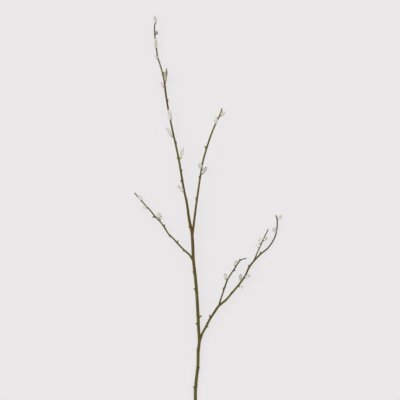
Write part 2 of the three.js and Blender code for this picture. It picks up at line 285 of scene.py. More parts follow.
# Light
BACKDROP = srgb(234, 232, 233)
SKY_POWER = 1.55
KEY_POWER = 1.1
KEY_WIDTH = 50  # degrees
KEY_TILTS = (-12, -36)  # degrees about X and Y
FLOOR_HALF = 40000.0
FLOOR_GREY = 0.1  # share of the light that the floor sends back
FLOOR_GLOW = 0.813  # share of the backdrop's light that the floor gives off
FLOOR_NOISE = (3, 2)  # scale and detail
FLOOR_ROUGHNESS = (0.9, 1.0)

# Each shoot has a route of x, y, z points along its middle, diameters spaced evenly along it, the x, y of
# its bud tips, and the colours of its bark by the share of its length.
SHOOTS = {
    "leader": {
        "diameters": (
            8.8, 8.8, 8.5, 8.4, 8.8, 8.7, 8.5, 8.7, 8, 6.3, 5.9, 5.7, 5.2, 5.1, 5.5, 4.2, 3.6, 3.2,
        ),
        "route": (
            (-12.5, -12, 4.4), (-13, 22, 5), (-10.5, 56, 6.5), (-6, 95, 8.5), (-5, 134, 11),
            (-2, 165, 13.5), (-4, 202, 16), (-6, 246, 18.5), (-8.5, 291, 21), (-13, 344, 24),
            (-18.5, 392, 26), (-20.5, 437, 28), (-23, 470, 29), (-30, 504, 30), (-36.5, 549, 31),
            (-44, 585, 31.5), (-51.5, 627, 31.5), (-59, 672, 31), (-68.5, 717, 30), (-78.5, 762, 28.5),
            (-89.5, 818, 26), (-96.5, 862, 23.5), (-98.5, 882, 22.2), (-102, 902, 21), (-109, 930, 19),
            (-118, 959, 17.5), (-121.5, 980, 16), (-126, 1014, 14.5), (-127.5, 1036, 14),
            (-126.5, 1055, 14),
        ),
        "buds": (
            (-19, 38), (-7, 43), (-1, 93), (-9.2, 144), (-12.5, 216.5), (5, 237), (-17.5, 313), (-21, 360),
            (-32.5, 487), (-36.5, 564.5), (-55, 615), (-50, 646), (-65, 680), (-66.5, 724), (-89, 842),
            (-102, 918),
        ),
        "bark": (
            (0, DARK_OLIVE), (0.34, DARK_OLIVE), (0.38, RED_BROWN), (0.44, RED_BROWN), (0.5, BROWN),
            (0.58, BROWN), (0.64, OLIVE), (0.72, OLIVE), (0.79, BROWN), (0.825, RED_BROWN),
            (0.85, RED_BROWN), (0.865, BROWN), (0.88, ASH), (0.893, ASH), (0.91, GREEN), (0.95, DARK_GREEN),
            (1, DARK_GREEN),
        ),
    },
    "spur": {
        "diameters": (4, 3.6, 3.2),
        "route": ((-98.5, 885, 22), (-96, 899, 22), (-93, 913, 22.5), (-94, 929, 23.5)),
        "bark": ((0, BROWN), (1, GREY_GREEN)),
    },
    "upper": {
        "diameters": (7, 6, 5.9, 5.2, 5.2, 5.1, 4.5, 4.2),
        "route": (
            (-21.5, 462, 29), (-18, 487, 31), (-15.5, 507, 32.5), (-10.5, 547, 36), (-5.5, 582, 39),
            (1, 627, 42.5), (7.5, 665, 45), (15.2, 694, 46.5), (29.5, 738, 48), (43.7, 773, 48.5),
            (53, 792, 48.5), (59, 806, 48), (61.5, 817, 47.5),
        ),
        "buds": ((-12, 567.5), (-2.5, 628), (13, 712)),
        "bark": (
            (0, DARK_OLIVE), (0.15, BROWN), (0.28, ORANGE_BROWN), (0.42, ORANGE_BROWN), (0.52, OLIVE),
            (0.75, OLIVE), (0.9, GREY_GREEN), (1, YELLOW_GREEN),
        ),
    },
    "left": {
        "diameters": (5.6, 4.8, 4.4, 4.2, 3.8, 3.2, 2.8),
        "route": (
            (-18.5, 388, 26.2), (-28, 404.5, 26), (-36.5, 413, 25.2), (-49.2, 424.3, 23.8),
            (-60.7, 436.3, 22), (-75.4, 452.6, 20), (-88, 465.1, 18), (-98.5, 481.2, 15.8),
            (-110, 497.6, 13.2), (-126.3, 514.3, 10.2), (-140.3, 531.7, 7.5), (-155.5, 548, 5.2),
            (-166.5, 561, 3.6), (-176, 571, 2.2), (-184, 581, 1.4),
        ),
        "buds": ((-48.5, 419), (-63, 447.5), (-88, 460.5), (-100, 492), (-134, 513)),
        "bark": (
            (0, BROWN), (0.12, GREEN), (0.5, GREEN), (0.62, GREY_BROWN), (0.7, DARK_GREEN),
            (0.74, DARK_GREEN), (0.8, GREY_BROWN), (0.94, GREY_BROWN), (1, BUD_DARK),
        ),
    },
    "right": {
        "diameters": (6.8, 6.4, 6.6, 6.8, 5.6, 5.6, 5.2, 5.4, 4.4, 3.8, 3.4, 3.4),
        "route": (
            (-1.5, 163, 13.5), (6.5, 186, 15), (15, 202, 16), (26.4, 223.7, 17.5), (40.4, 245.7, 19),
            (52.5, 263, 20), (71.8, 279.3, 20.5), (90.9, 301.3, 20.5), (110.2, 324.4, 20),
            (126.5, 347.7, 18.5), (137, 370, 16.5), (153.5, 392, 14), (171.4, 409.6, 11.5),
            (188.9, 424.1, 10), (201.9, 441.2, 8), (210.9, 458.8, 6), (215.5, 479, 4.4), (216.5, 498, 3),
            (215, 511, 2.2), (211.5, 517.5, 1.7),
        ),
        "buds": ((24, 207), (27, 239.5), (90, 304), (137, 379), (170.5, 415.5)),
        "bark": (
            (0, DARK_OLIVE), (0.25, DARK_OLIVE), (0.35, GREY_BROWN), (0.45, OLIVE), (0.65, OLIVE),
            (0.77, GREY_BROWN), (0.81, DARK_GREEN), (0.86, DARK_GREEN), (0.88, GREEN), (0.9, PURPLE_BROWN),
            (0.91, BUD_DARK), (0.95, BUD_DARK), (0.97, SAGE), (1, OLIVE),
        ),
    },
    "inner": {
        "diameters": (4.8, 4.2, 4.4, 4.6, 4, 3.6, 3),
        "route": (
            (51.5, 260, 19.5), (57.5, 280, 22.5), (63.5, 298, 25.5), (69.3, 316, 28.5), (76.5, 336, 31.5),
            (86.5, 353, 34), (98, 370, 36.5), (107, 384, 38), (114, 392, 39), (122, 395, 39.5),
            (131, 397.3, 40),
        ),
        "buds": ((65, 315.5), (99.5, 364.5), (113, 396)),
        "bark": (
            (0, OLIVE), (0.12, BROWN), (0.26, BROWN), (0.4, DARK_GREEN), (0.45, DARK_GREEN), (0.5, SAGE),
            (0.58, SAGE), (0.68, DARK_GREEN), (0.73, DARK_GREEN), (0.85, GREEN), (1, SAGE),
        ),
    },
    "second": {
        "diameters": (3.6, 3.2, 3, 3.2, 3),
        "route": (
            (149, 386, 14.8), (156.5, 403, 17.5), (166.5, 426, 21.5), (172, 437, 23.5),
            (176.9, 449.3, 25.5), (186.2, 467.8, 28), (191.4, 478.8, 29.5),
        ),
        "bark": ((0, OLIVE), (0.4, GREEN), (0.7, GREY_BROWN), (0.9, GREY_BROWN), (1, DARK_GREEN)),
    },
}


def unit(vectors):
    """Vectors of the same directions and of length 1."""
    return vectors / norm(vectors, axis=-1, keepdims=True)


def across(direction):
    """Two directions at right angles to a direction and to each other."""
    flat = np.cross(direction, UP)
    if norm(flat) < STEEP:
        flat = np.cross(direction, (1.0, 0.0, 0.0))
    side = unit(flat)
    return side, np.cross(side, direction)


def spline(route):
    """A centripetal Catmull-Rom curve through a route's points, as a fine polyline."""
    knots = np.array(route, float)
    knots = np.vstack([2 * knots[0] - knots[1], knots, 2 * knots[-1] - knots[-2]])
    gaps = norm(np.diff(knots, axis=0), axis=1) ** 0.5
    t = np.linspace(0, 1, SPLINE_STEPS, endpoint=False)[:, None]
    stretches = []
    for i in range(len(knots) - 3):
        a, b, c, d = knots[i:i + 4]
        before, here, after = gaps[i:i + 3]
        leave = ((b - a) / before - (c - a) / (before + here) + (c - b) / here) * here
        arrive = ((c - b) / here - (d - b) / (here + after) + (d - c) / after) * here
        square = 3 * (c - b) - 2 * leave - arrive
        cube = 2 * (b - c) + leave + arrive
        stretches.append(b + leave * t + square * t ** 2 + cube * t ** 3)
    return np.vstack([*stretches, knots[-2]])


class Shoot:
    """A shoot's middle line and radius, by the distance along it."""

    def __init__(self, route, diameters, bark, buds=()):
        self.line = spline(route) + PHOTO_FOOT
        steps = norm(np.diff(self.line, axis=0), axis=1)
        self.marks = np.concatenate([[0], np.cumsum(steps)])
        self.length = self.marks[-1]
        self.diameters = diameters
        self.buds = [np.array(tip) + PHOTO_FOOT[:2] for tip in buds]
        self.bark = bark

    def point(self, along):
        """The place on the middle line."""
        return np.stack([np.interp(along, self.marks, self.line[:, k]) for k in range(3)], axis=-1)

    def radius(self, along):
        return np.interp(along, np.linspace(0, self.length, len(self.diameters)), self.diameters) / 2

    def axes(self, along):
        """The directions forward, to the right and upwards."""
        before = self.point(np.maximum(along - AXIS_STEP, 0))
        after = self.point(np.minimum(along + AXIS_STEP, self.length))
        forward = unit(after - before)
        side = unit(np.cross(forward, UP))
        return forward, side, np.cross(side, forward)

    def nearest(self, place):
        """How far along the shoot comes nearest to a place, in plan or in space, and how near."""
        gaps = norm(self.line[:, :len(place)] - place, axis=1)
        return self.marks[gaps.argmin()], gaps.min()

    def turn_to(self, along, direction):
        """The angle round the shoot, from its right side, at which a direction leaves it."""
        _, side, up = self.axes(along)
        return math.atan2(direction @ up, direction @ side)

    def outward(self, along, turn):
        """The direction at an angle round the shoot, from its right side."""
        _, side, up = self.axes(along)
        return side * math.cos(turn) + up * math.sin(turn)

    def colour(self, along):
        """The colour of the bark."""
        shares, colours = zip(*self.bark)
        share = along / self.length
        return np.stack([np.interp(share, shares, [c[k] for c in colours]) for k in range(3)], axis=-1)


class Body:
    """A closed skin, with a colour, a grain coordinate and a gloss for each vertex."""

    def __init__(self, places, faces, tint, grain, gloss):
        self.places = places
        self.faces = faces
        self.tint = np.broadcast_to(tint, places.shape)
        self.grain = grain
        self.gloss = np.broadcast_to(gloss, len(places))


def joined(bodies):
    """Several bodies as one."""
    faces = []
    start = 0
    for body in bodies:
        faces.extend([start + corner for corner in face] for face in body.faces)
        start += len(body.places)
    return Body(
        np.vstack([b.places for b in bodies]), faces, np.vstack([b.tint for b in bodies]),
        np.vstack([b.grain for b in bodies]), np.concatenate([b.gloss for b in bodies]),
    )


def full_turn(sides):
    """Angles spaced evenly all round."""
    return np.linspace(0, 2 * np.pi, sides, endpoint=False)


def round_rows(radii, sides):
    """Rows of radii, each the same all round."""
    return np.repeat(radii[:, None], sides, axis=1)


def sleeve(centres, sides, ups, radii, tint, gloss, heights):
    """A closed skin round a line, of rings with a single point at each end."""
    rows, count = radii.shape
    turn = full_turn(count)
    right, high = radii * np.cos(turn), radii * np.sin(turn)
    rings = centres[:, None] + right[..., None] * sides[:, None] + high[..., None] * ups[:, None]
    far = np.broadcast_to(heights[:, None] / GRAIN_STRETCH, radii.shape)
    grain = np.stack([right, high, far], axis=-1)
    tint = np.broadcast_to(tint[:, None], (rows, count, 3))
    gloss = np.broadcast_to(gloss, (rows,))

    def skin(values):
        return np.vstack([values[:1, 0], values[1:-1].reshape(-1, 3), values[-1:, 0]])

    index = 1 + np.arange((rows - 2) * count).reshape(rows - 2, count)
    after = np.roll(index, -1, axis=1)
    quads = np.stack([index[:-1], index[1:], after[1:], after[:-1]], axis=-1).reshape(-1, 4)
    last = 1 + index.size
    foot = [[0, a, b] for a, b in zip(index[0], after[0])]
    tip = [[a, last, b] for a, b in zip(index[-1], after[-1])]
    all_gloss = np.concatenate([gloss[:1], np.repeat(gloss[1:-1], count), gloss[-1:]])
    return Body(skin(rings), [*quads.tolist(), *foot, *tip], skin(tint), skin(grain), all_gloss)


def blend(first, second, shares):
    """Rows of colours from one to another."""
    shares = np.asarray(shares)[:, None]
    return first * (1 - shares) + second * shares


def shoot_body(shoot, nodes, is_side, is_tip_bare, rng):
    """A shoot with cushions at its nodes, faint ribs, a widened or cut foot and a bud at its tip."""
    bud_start = TIP_BUD[-1][0]
    body = np.linspace(0, shoot.length - bud_start, math.ceil(shoot.length / RING_STEP))
    tip = shoot.length - bud_start * (1 - np.linspace(0, 1, TIP_ROWS + 1)[1:]) ** TIP_CROWDING
    cut_shares, cut_depths, cut_colours = zip(*CUT_ROWS)
    along = np.concatenate([cut_depths, np.maximum(body, SKIN_START), tip])
    share = np.concatenate([cut_shares, np.ones(len(body) + TIP_ROWS)])
    sides = max(LEAST_SIDES, round(SIDES_PER_MM * max(shoot.diameters)))
    turn = full_turn(sides)
    radii = round_rows(shoot.radius(along), sides)
    for place, towards in nodes:
        hump = np.exp(-((along - place) / NODE_REACH) ** 2)[:, None]
        radii = radii + NODE_SWELL * hump * (NODE_ROUND + (1 - NODE_ROUND) * np.cos(turn - towards))
    for waves, height in RIBS:
        drift = rng.uniform(-RIB_DRIFT, RIB_DRIFT)
        phase = rng.uniform(0, 2 * np.pi)
        fade = 1 - RIB_FADE + RIB_FADE * np.sin(along / RIB_WAVE + phase)
        radii = radii + height * fade[:, None] * np.sin(waves * turn + phase + drift * along[:, None])
    if is_side:
        radii = radii * (1 + FLARE * np.exp(-along / FLARE_REACH))[:, None]
    if not is_tip_bare:
        back, shape = np.array(TIP_BUD).T
        radii = radii * np.interp(shoot.length - along, back, shape)[:, None]
    radii = radii * share[:, None]
    radii[-1] = 0
    _, side, up = shoot.axes(along)
    tint = shoot.colour(along)
    tint[:len(CUT_ROWS)] = cut_colours
    gloss = np.where(share < 1, 0.0, BARK_GLOSS)
    return sleeve(shoot.point(along), side, up, radii, tint, gloss, along)


def bud_body(shoot, root_along, tip):
    """A pointed bud with one scale, from a root inside the wood, bowed outwards."""
    root = shoot.point(root_along)
    forward, _, _ = shoot.axes(root_along)
    reach = tip - root
    outward = reach - forward * (reach @ forward)
    share, width = np.array(BUD_SHAPE).T
    t = share[:, None]
    bulge = BUD_BULGE * outward * (4 * t * (1 - t))
    centres = root + reach * t + bulge
    side, up = across(unit(reach))
    rows = np.ones((len(share), 1))
    radii = round_rows(width * BUD_WIDTH / 2, BUD_SIDES)
    tint = blend(shoot.colour(root_along), BUD_BROWN, BUD_TAN * share)
    heights = share * norm(reach)
    return sleeve(centres, rows * side, rows * up, radii, tint, BUD_GLOSS, heights)


def spot_body(shoot, along, out, centres, radii, half_widths, tint, heights):
    """A small oval spot on the bark, in rows that rise out of it."""
    forward, _, _ = shoot.axes(along)
    half_wide, half_long = half_widths
    rows = np.ones((len(centres), 1))
    lengthwise = rows * forward * half_long
    crosswise = rows * -np.cross(forward, out) * half_wide
    return sleeve(centres, lengthwise, crosswise, radii, tint, ROUGH_GLOSS, heights)


def scar_body(shoot, along, towards):
    """A leaf scar, half sunk in the bark."""
    out = shoot.outward(along, towards)
    *half_widths, half_high = SCAR_SIZE
    lift = np.linspace(-np.pi / 2, np.pi / 2, SCAR_ROWS)
    centre = shoot.point(along) + out * (shoot.radius(along) + SCAR_LIFT)
    centres = centre + out * (half_high * np.sin(lift))[:, None]
    radii = round_rows(np.cos(lift), SCAR_SIDES)
    radii[[0, -1]] = 0
    tint = blend(SCAR_BROWN, BUD_DARK, np.linspace(0, 1, SCAR_ROWS))
    return spot_body(shoot, along, out, centres, radii, half_widths, tint, lift * half_high)


def pore_bodies(shoot, rng):
    """Lenticels, spaced along a shoot at random turns."""
    bodies = []
    share, lift = np.array(PORE_SHAPE).T
    first, spare = PORE_ENDS
    for k in range(first, int(shoot.length / PORE_STEP) - spare):
        along = (k + rng.uniform(-PORE_SHIFT, PORE_SHIFT)) * PORE_STEP
        out = shoot.outward(along, rng.uniform(0, 2 * np.pi))
        size = rng.uniform(*PORE_SIZES)
        centres = shoot.point(along) + out * (shoot.radius(along) + lift)[:, None]
        radii = round_rows(share * size, PORE_SIDES)
        tan = np.full(len(share), rng.uniform(*PORE_TANS))
        tint = blend(shoot.colour(along), PORE_TAN, tan)
        bodies.append(spot_body(shoot, along, out, centres, radii, PORE_HALF_WIDTHS, tint, lift))
    return bodies


class Catkin:
    """A catkin's foot, tip and width, read from its solid, and the shoot that carries it."""

    def __init__(self, number, shoots, stem_tree):
        self.number = number
        self.node = f"catkin_{number:02d}"
        places = np.array([v.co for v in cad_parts[self.node].data.vertices]) / MM
        gaps = norm(places[:, None] - places, axis=2)
        ends = [places[k] for k in np.unravel_index(gaps.argmax(), gaps.shape)]
        ends.sort(key=lambda end: stem_tree.find(end)[2])
        self.foot, self.tip = ends
        self.length = norm(self.tip - self.foot)
        self.axis = unit(self.tip - self.foot)
        self.side, self.up = across(self.axis)
        beside = places - self.foot
        beside = beside - np.outer(beside @ self.axis, self.axis)
        self.radius = norm(beside, axis=1).max()
        self.rim = self.foot - self.axis * SEAT_GAP
        self.bend = self.rim - self.axis * CUP_LENGTH
        self.shoot = min(shoots, key=lambda shoot: shoot.nearest(self.bend)[1])
        self.along, gap = self.shoot.nearest(self.bend)
        self.is_terminal = gap < TERMINAL_GAP * self.shoot.radius(self.along)
        inside = self.bend - self.axis * CUP_LENGTH
        self.root = inside if self.is_terminal else self.shoot.point(self.along)

    def towards(self):
        """The angle round its shoot at which the catkin stands."""
        return self.shoot.turn_to(self.along, self.bend - self.root)

    def uprightness(self):
        """1 for a catkin on the upper side of its shoot, 0 for one at its side or its tip."""
        out = self.bend - self.root
        return 0.0 if self.is_terminal else max(out[2] / norm(out), 0.0)

    def outward(self, turn):
        """The directions at angles round the catkin."""
        return np.cos(turn)[..., None] * self.side + np.sin(turn)[..., None] * self.up

    def core_radius(self, share):
        """The core's radius at a share of its length."""
        full = self.radius - CORE_INSET
        swell = np.sin(np.pi / 2 * np.minimum(share / CORE_WIDEST, 1))
        taper = (np.maximum(share - CORE_WIDEST, 0) / (1 - CORE_WIDEST)) ** CORE_TAPER
        lower = CORE_FOOT + (full - CORE_FOOT) * swell
        return np.where(share < CORE_WIDEST, lower, full * np.cos(np.pi / 2 * taper))


def cup_body(catkin):
    """The stalk and cup that carry a catkin, hollow at the rim."""
    root, bend, rim = catkin.root, catkin.bend, catkin.rim
    t = np.linspace(0, 1, CUP_ROWS)[:, None]
    curve = (1 - t) ** 2 * root + 2 * t * (1 - t) * bend + t ** 2 * rim
    forward = unit((1 - t) * (bend - root) + t * (rim - bend))
    plane = np.cross(bend - root, rim - bend)
    side = unit(plane) if norm(plane) > STRAIGHT else catkin.side
    radius = np.interp(t[:, 0], np.linspace(0, 1, len(CUP_RADII)), CUP_RADII)
    lip = rim - catkin.axis * CUP_HOLLOW / 2
    hollow = rim - catkin.axis * CUP_HOLLOW
    centres = np.vstack([root, curve, lip, hollow])
    ways = np.vstack([forward[0], forward, forward[-1], forward[-1]])
    radii = np.concatenate([[0], radius, [CUP_LIP * radius[-1], 0]])
    radii = round_rows(radii, CUP_SIDES)
    sides = np.tile(side, (len(centres), 1))
    shares = np.clip(np.linspace(*CUP_FADE, len(centres)), 0, 1) * (1 - catkin.uprightness() ** 2)
    tint = blend(catkin.shoot.colour(catkin.along), SCALE_BROWN, shares)
    heights = np.arange(len(centres)) * CUP_GRAIN_STEP
    return sleeve(centres, sides, np.cross(sides, ways), radii, tint, CUP_GLOSS, heights)


def plate(outer, inner, tint, gloss):
    """A closed thin shell between two grids of points."""
    rows, columns = outer.shape[:2]
    index = np.arange(rows * columns).reshape(rows, columns)
    under = index + rows * columns
    top = np.stack([index[:-1, :-1], index[1:, :-1], index[1:, 1:], index[:-1, 1:]], -1).reshape(-1, 4)
    low = np.stack([under[:-1, :-1], under[:-1, 1:], under[1:, 1:], under[1:, :-1]], -1).reshape(-1, 4)
    rim = np.concatenate([index[0], index[1:, -1], index[-1, -2::-1], index[-2:0:-1, 0]])
    after = np.roll(rim, -1)
    wall = np.stack([rim, after, after + rows * columns, rim + rows * columns], -1)
    places = np.vstack([outer.reshape(-1, 3), inner.reshape(-1, 3)])
    faces = [*top.tolist(), *low.tolist(), *wall.tolist()]
    tint = np.repeat(tint, columns, axis=0)
    return Body(places, faces, np.vstack([tint, tint]), places.copy(), gloss)


def scale_body(catkin, turn, length):
    """One brown bud scale that clasps the foot of a catkin."""
    rows, columns = SCALE_GRID
    share = np.linspace(0, 1, rows)
    height = -SCALE_SINK + share * (length + SCALE_SINK)
    half = np.radians(SCALE_SPREAD) * np.sqrt(np.maximum(1 - share ** SCALE_ROUNDING, SCALE_TIP))
    angle = np.radians(turn) + half[:, None] * np.linspace(-1, 1, columns)
    core = catkin.core_radius(np.clip(height / catkin.length, 0, 1))
    rim_radius = CUP_RADII[-1]
    cup = np.interp(height, (-SCALE_SINK, 0, 1), (rim_radius - SCALE_FOOT, rim_radius, 0))
    reach = np.maximum(cup, core + SCALE_LIFT)
    around = catkin.outward(angle)
    centre = catkin.rim + np.outer(height, catkin.axis)
    outer = centre[:, None] + around * (reach + SCALE_THICK / 2)[:, None, None]
    inner = centre[:, None] + around * (reach - SCALE_THICK / 2)[:, None, None]
    dark = blend(BUD_DARK, BUD_BROWN, share)
    foot = blend(SCALE_BROWN, BUD_BROWN, np.full(1, catkin.uprightness() ** 2))
    tint = dark if catkin.number == HALF_OPEN else blend(foot, SCALE_PALE, share ** 2)
    return plate(outer, inner, tint, SCALE_GLOSS)


def scale_bodies(catkin):
    """The bud scales round the foot of a catkin."""
    lengths = HALF_OPEN_SCALES if catkin.number == HALF_OPEN else SCALE_LENGTHS
    return [scale_body(catkin, turn, length) for turn, length in zip(SCALE_TURNS, lengths)]


def hidden_bud_tips(shoot, feet):
    """Root distance and tip of the buds on the lower side of a shoot, clear of the catkins' feet."""
    found = []
    for along in np.arange(HIDDEN_BUD_STEP, shoot.length - HIDDEN_BUD_STEP / 2, HIDDEN_BUD_STEP):
        place = shoot.point(along)
        is_clear = all(norm(foot - place) > HIDDEN_BUD_CLEAR for foot in feet)
        if place[2] > HIDDEN_BUD_FLOOR and is_clear:
            angle = math.radians(HIDDEN_BUD_TURNS[len(found) % len(HIDDEN_BUD_TURNS)])
            reach = shoot.radius(along) + HIDDEN_BUD_PROUD
            found.append((along - BUD_REACH, place + reach * shoot.outward(along, angle)))
    return found


def side_bud_tips(shoot):
    """Root distance and tip of the buds that stand out to the left and right of a shoot."""
    found = []
    for tip in shoot.buds:
        root_along = max(shoot.nearest(tip)[0] - BUD_REACH, 0)
        found.append((root_along, np.array([*tip, shoot.point(root_along)[2]])))
    return found


def placed(name, data):
    """A new object in the scene."""
    made = bpy.data.objects.new(name, data)
    bpy.context.scene.collection.objects.link(made)
    return made


def mesh_object(name, places, faces, material):
    """A new mesh in the scene, from places in millimetres."""
    mesh = bpy.data.meshes.new(name)
    mesh.from_pydata((places * MM).tolist(), [], faces)
    mesh.materials.append(material)
    return placed(name, mesh)


def set_attribute(mesh, name, kind, field, values):
    """Gives each vertex of a mesh a value that its material reads."""
    attribute = mesh.attributes.new(name, kind, "POINT")
    attribute.data.foreach_set(field, np.ascontiguousarray(values, np.float32).ravel())


def fused(bodies, material):
    """One object from bodies that cross each other, by Boolean unions."""
    whole, *others = [mesh_object(f"part_{k}", b.places, b.faces, material) for k, b in enumerate(bodies)]
    for other in others:
        union = whole.modifiers.new(other.name, "BOOLEAN")
        union.operation = "UNION"
        union.solver = "MANIFOLD"
        union.object = other
    graph = bpy.context.evaluated_depsgraph_get()
    mesh = bpy.data.meshes.new_from_object(whole.evaluated_get(graph))
    for part in (whole, *others):
        bpy.data.objects.remove(part)
    return placed("stem_bark", mesh)


def vertex_places(mesh):
    """The places of a mesh's vertices, in millimetres."""
    places = np.empty(len(mesh.vertices) * 3, np.float32)
    mesh.vertices.foreach_get("co", places)
    return places.reshape(-1, 3).astype(float) / MM


def smooth_forks(mesh, forks):
    """Softens the crease where a side shoot leaves its parent."""
    places = vertex_places(mesh)
    edges = np.empty(len(mesh.edges) * 2, np.int32)
    mesh.edges.foreach_get("vertices", edges)
    a, b = edges.reshape(-1, 2).T
    weight = np.zeros(len(places))
    for fork in forks:
        far = norm(places - fork, axis=1) / FORK_REACH
        weight = np.maximum(weight, np.exp(-far ** 2))
    weight[weight < FORK_EDGE] = 0
    count = np.bincount(a, minlength=len(places)) + np.bincount(b, minlength=len(places))
    for _ in range(FORK_PASSES):
        total = np.zeros_like(places)
        np.add.at(total, a, places[b])
        np.add.at(total, b, places[a])
        places += FORK_PULL * weight[:, None] * (total / count[:, None] - places)
    mesh.vertices.foreach_set("co", (places * MM).astype(np.float32).ravel())
    mesh.update()


def tree_of(places):
    """A tree that finds the nearest of some places."""
    tree = KDTree(len(places))
    for k, place in enumerate(places):
        tree.insert(place, k)
    tree.balance()
    return tree


def dress(mesh, bodies):
    """Gives a fused mesh the colours, grain and gloss of the bodies that it was made from."""
    source = joined(bodies)
    tree = tree_of(source.places)
    near = [tree.find(place)[1] for place in vertex_places(mesh)]
    tint = np.c_[source.tint, np.ones(len(source.tint))]
    set_attribute(mesh, "tint", "FLOAT_COLOR", "color", tint[near])
    set_attribute(mesh, "grain", "FLOAT_VECTOR", "vector", source.grain[near])
    set_attribute(mesh, "gloss", "FLOAT", "value", source.gloss[near])


class Nodes:
    """Short forms for building a material's nodes."""

    def __init__(self, name):
        self.material = bpy.data.materials.new(name)
        self.material.use_nodes = True
        self.tree = self.material.node_tree
        self.shader = self.tree.nodes["Principled BSDF"]

    def add(self, kind, values=None, **settings):
        """A node with its settings, and inputs filled by identifier."""
        made = self.tree.nodes.new(kind)
        for name, value in settings.items():
            setattr(made, name, value)
        sockets = {socket.identifier: socket for socket in made.inputs}
        for name, value in (values or {}).items():
            self.fill(sockets[name], value)
        return made

    def fill(self, socket, value):
        """Links an input to an output, or sets it to a constant."""
        if isinstance(value, bpy.types.NodeSocket):
            self.tree.links.new(value, socket)
        else:
            socket.default_value = value

    def surface(self, values):
        """Fills inputs of the shader by their names."""
        for name, value in values.items():
            self.fill(self.shader.inputs[name], value)

    def attribute(self, name, output):
        return self.add("ShaderNodeAttribute", attribute_name=name).outputs[output]

    def noise(self, place, scale, detail):
        made = self.add("ShaderNodeTexNoise", {"Vector": place, "Scale": scale, "Detail": detail})
        return made.outputs["Fac"]

    def ramp(self, value, span, ends):
        """From one end to the other as a value crosses a span, and no further."""
        values = {"Value": value}
        values["From Min"], values["From Max"] = span
        values["To Min"], values["To Max"] = ends
        return self.add("ShaderNodeMapRange", values).outputs["Result"]

    def math(self, operation, first, second):
        made = self.add("ShaderNodeMath", {"Value": first, "Value_001": second}, operation=operation)
        return made.outputs["Value"]

    def mix(self, share, first, second):
        """A colour that goes to a plain second one by a share."""
        values = {"Factor_Float": share, "A_Color": first, "B_Color": (*second, 1)}
        made = self.add("ShaderNodeMix", values, data_type="RGBA")
        return next(socket for socket in made.outputs if socket.identifier == "Result_Color")

    def scaled(self, colour, factor):
        made = self.add("ShaderNodeVectorMath", {"Vector": colour, "Scale": factor}, operation="SCALE")
        return made.outputs["Vector"]


def bark_material():
    """Bark: the wood's colour, streaked along the grain and mottled, with fine fissures."""
    nodes = Nodes("bark")
    tint = nodes.attribute("tint", "Color")
    grain = nodes.attribute("grain", "Vector")
    gloss = nodes.attribute("gloss", "Fac")
    place = nodes.add("ShaderNodeTexCoord").outputs["Object"]
    streak = nodes.noise(grain, *STREAK_NOISE)
    fissure = nodes.noise(grain, *FISSURE_NOISE)
    patch = nodes.noise(grain, *PATCH_NOISE)
    mottle = nodes.noise(place, *MOTTLE_NOISE)
    film = nodes.noise(place, *FILM_NOISE)
    shade = nodes.ramp(streak, STREAK_SPAN, STREAK_SHADES)
    shade = nodes.math("MULTIPLY", shade, nodes.ramp(mottle, MOTTLE_SPAN, MOTTLE_SHADES))
    shade = nodes.math("MULTIPLY", shade, nodes.ramp(fissure, FISSURE_SPAN, FISSURE_SHADES))
    shade = nodes.math("MULTIPLY", shade, nodes.ramp(patch, PATCH_SPAN, PATCH_SHADES))
    greened = nodes.mix(nodes.ramp(film, FILM_SPAN, FILM_SHARES), tint, GREEN)
    ruddy = nodes.mix(nodes.ramp(patch, RUDDY_SPAN, RUDDY_SHARES), greened, RED_BROWN)
    dull = nodes.ramp(streak, STREAK_SPAN, BARK_ROUGHNESS)
    polish = nodes.math("MULTIPLY", gloss, GLOSS_EFFECT)
    height = nodes.math("ADD", fissure, streak)
    bump = nodes.add("ShaderNodeBump", {"Height": height, "Strength": RELIEF_STRENGTH, "Distance": RELIEF})
    nodes.surface({
        "Base Color": nodes.scaled(ruddy, shade),
        "Roughness": nodes.math("SUBTRACT", dull, polish),
        "Normal": bump.outputs["Normal"],
        "Specular IOR Level": BARK_SPECULAR,
    })
    return nodes.material


def fur_material():
    """Silky hairs, a little darker at the root."""
    nodes = Nodes("catkin_fur")
    tint = nodes.attribute("tint", "Color")
    share = nodes.attribute("share", "Fac")
    shade = nodes.attribute("shade", "Fac")
    bright = nodes.ramp(share, ROOT_HALF, ROOT_SHADES)
    bright = nodes.math("MULTIPLY", bright, nodes.ramp(shade, WHOLE, TUFT_SHADES))
    nodes.surface({
        "Base Color": nodes.scaled(tint, bright),
        "Roughness": nodes.ramp(shade, WHOLE, FUR_ROUGHNESS),
        "Sheen Weight": FUR_SHEEN,
    })
    return nodes.material


def hair_roots(catkin, rng):
    """Height, turn, and the tuft's own shade and sway, for every hair of a catkin."""
    core_length = catkin.length - CORE_TIP_INSET
    shares = np.linspace(0, 1, AREA_STEPS)
    ring = catkin.core_radius(shares)
    area = 2 * np.pi * ring.mean() * core_length
    tufts = int(TUFT_DENSITY * area)
    reached = np.cumsum(ring) / ring.sum()
    order = (np.arange(tufts) + 0.5) / tufts
    share = np.interp(order, reached, shares)
    golden = np.pi * (3 - math.sqrt(5))
    turn = np.arange(tufts) * golden
    shade = rng.uniform(0, 1, tufts)
    sway = rng.normal(0, SWAY, (tufts, 2))
    tuft = np.repeat(np.arange(tufts), HAIRS_PER_TUFT)
    off = rng.normal(0, TUFT_SPREAD, (len(tuft), 2))
    height = np.clip(share[tuft] * core_length + off[:, 0], 0, TOP_ROOT * core_length)
    width = np.maximum(catkin.core_radius(share[tuft]), LEAST_RING)
    return height, turn[tuft] + off[:, 1] / width, shade[tuft], sway[tuft]


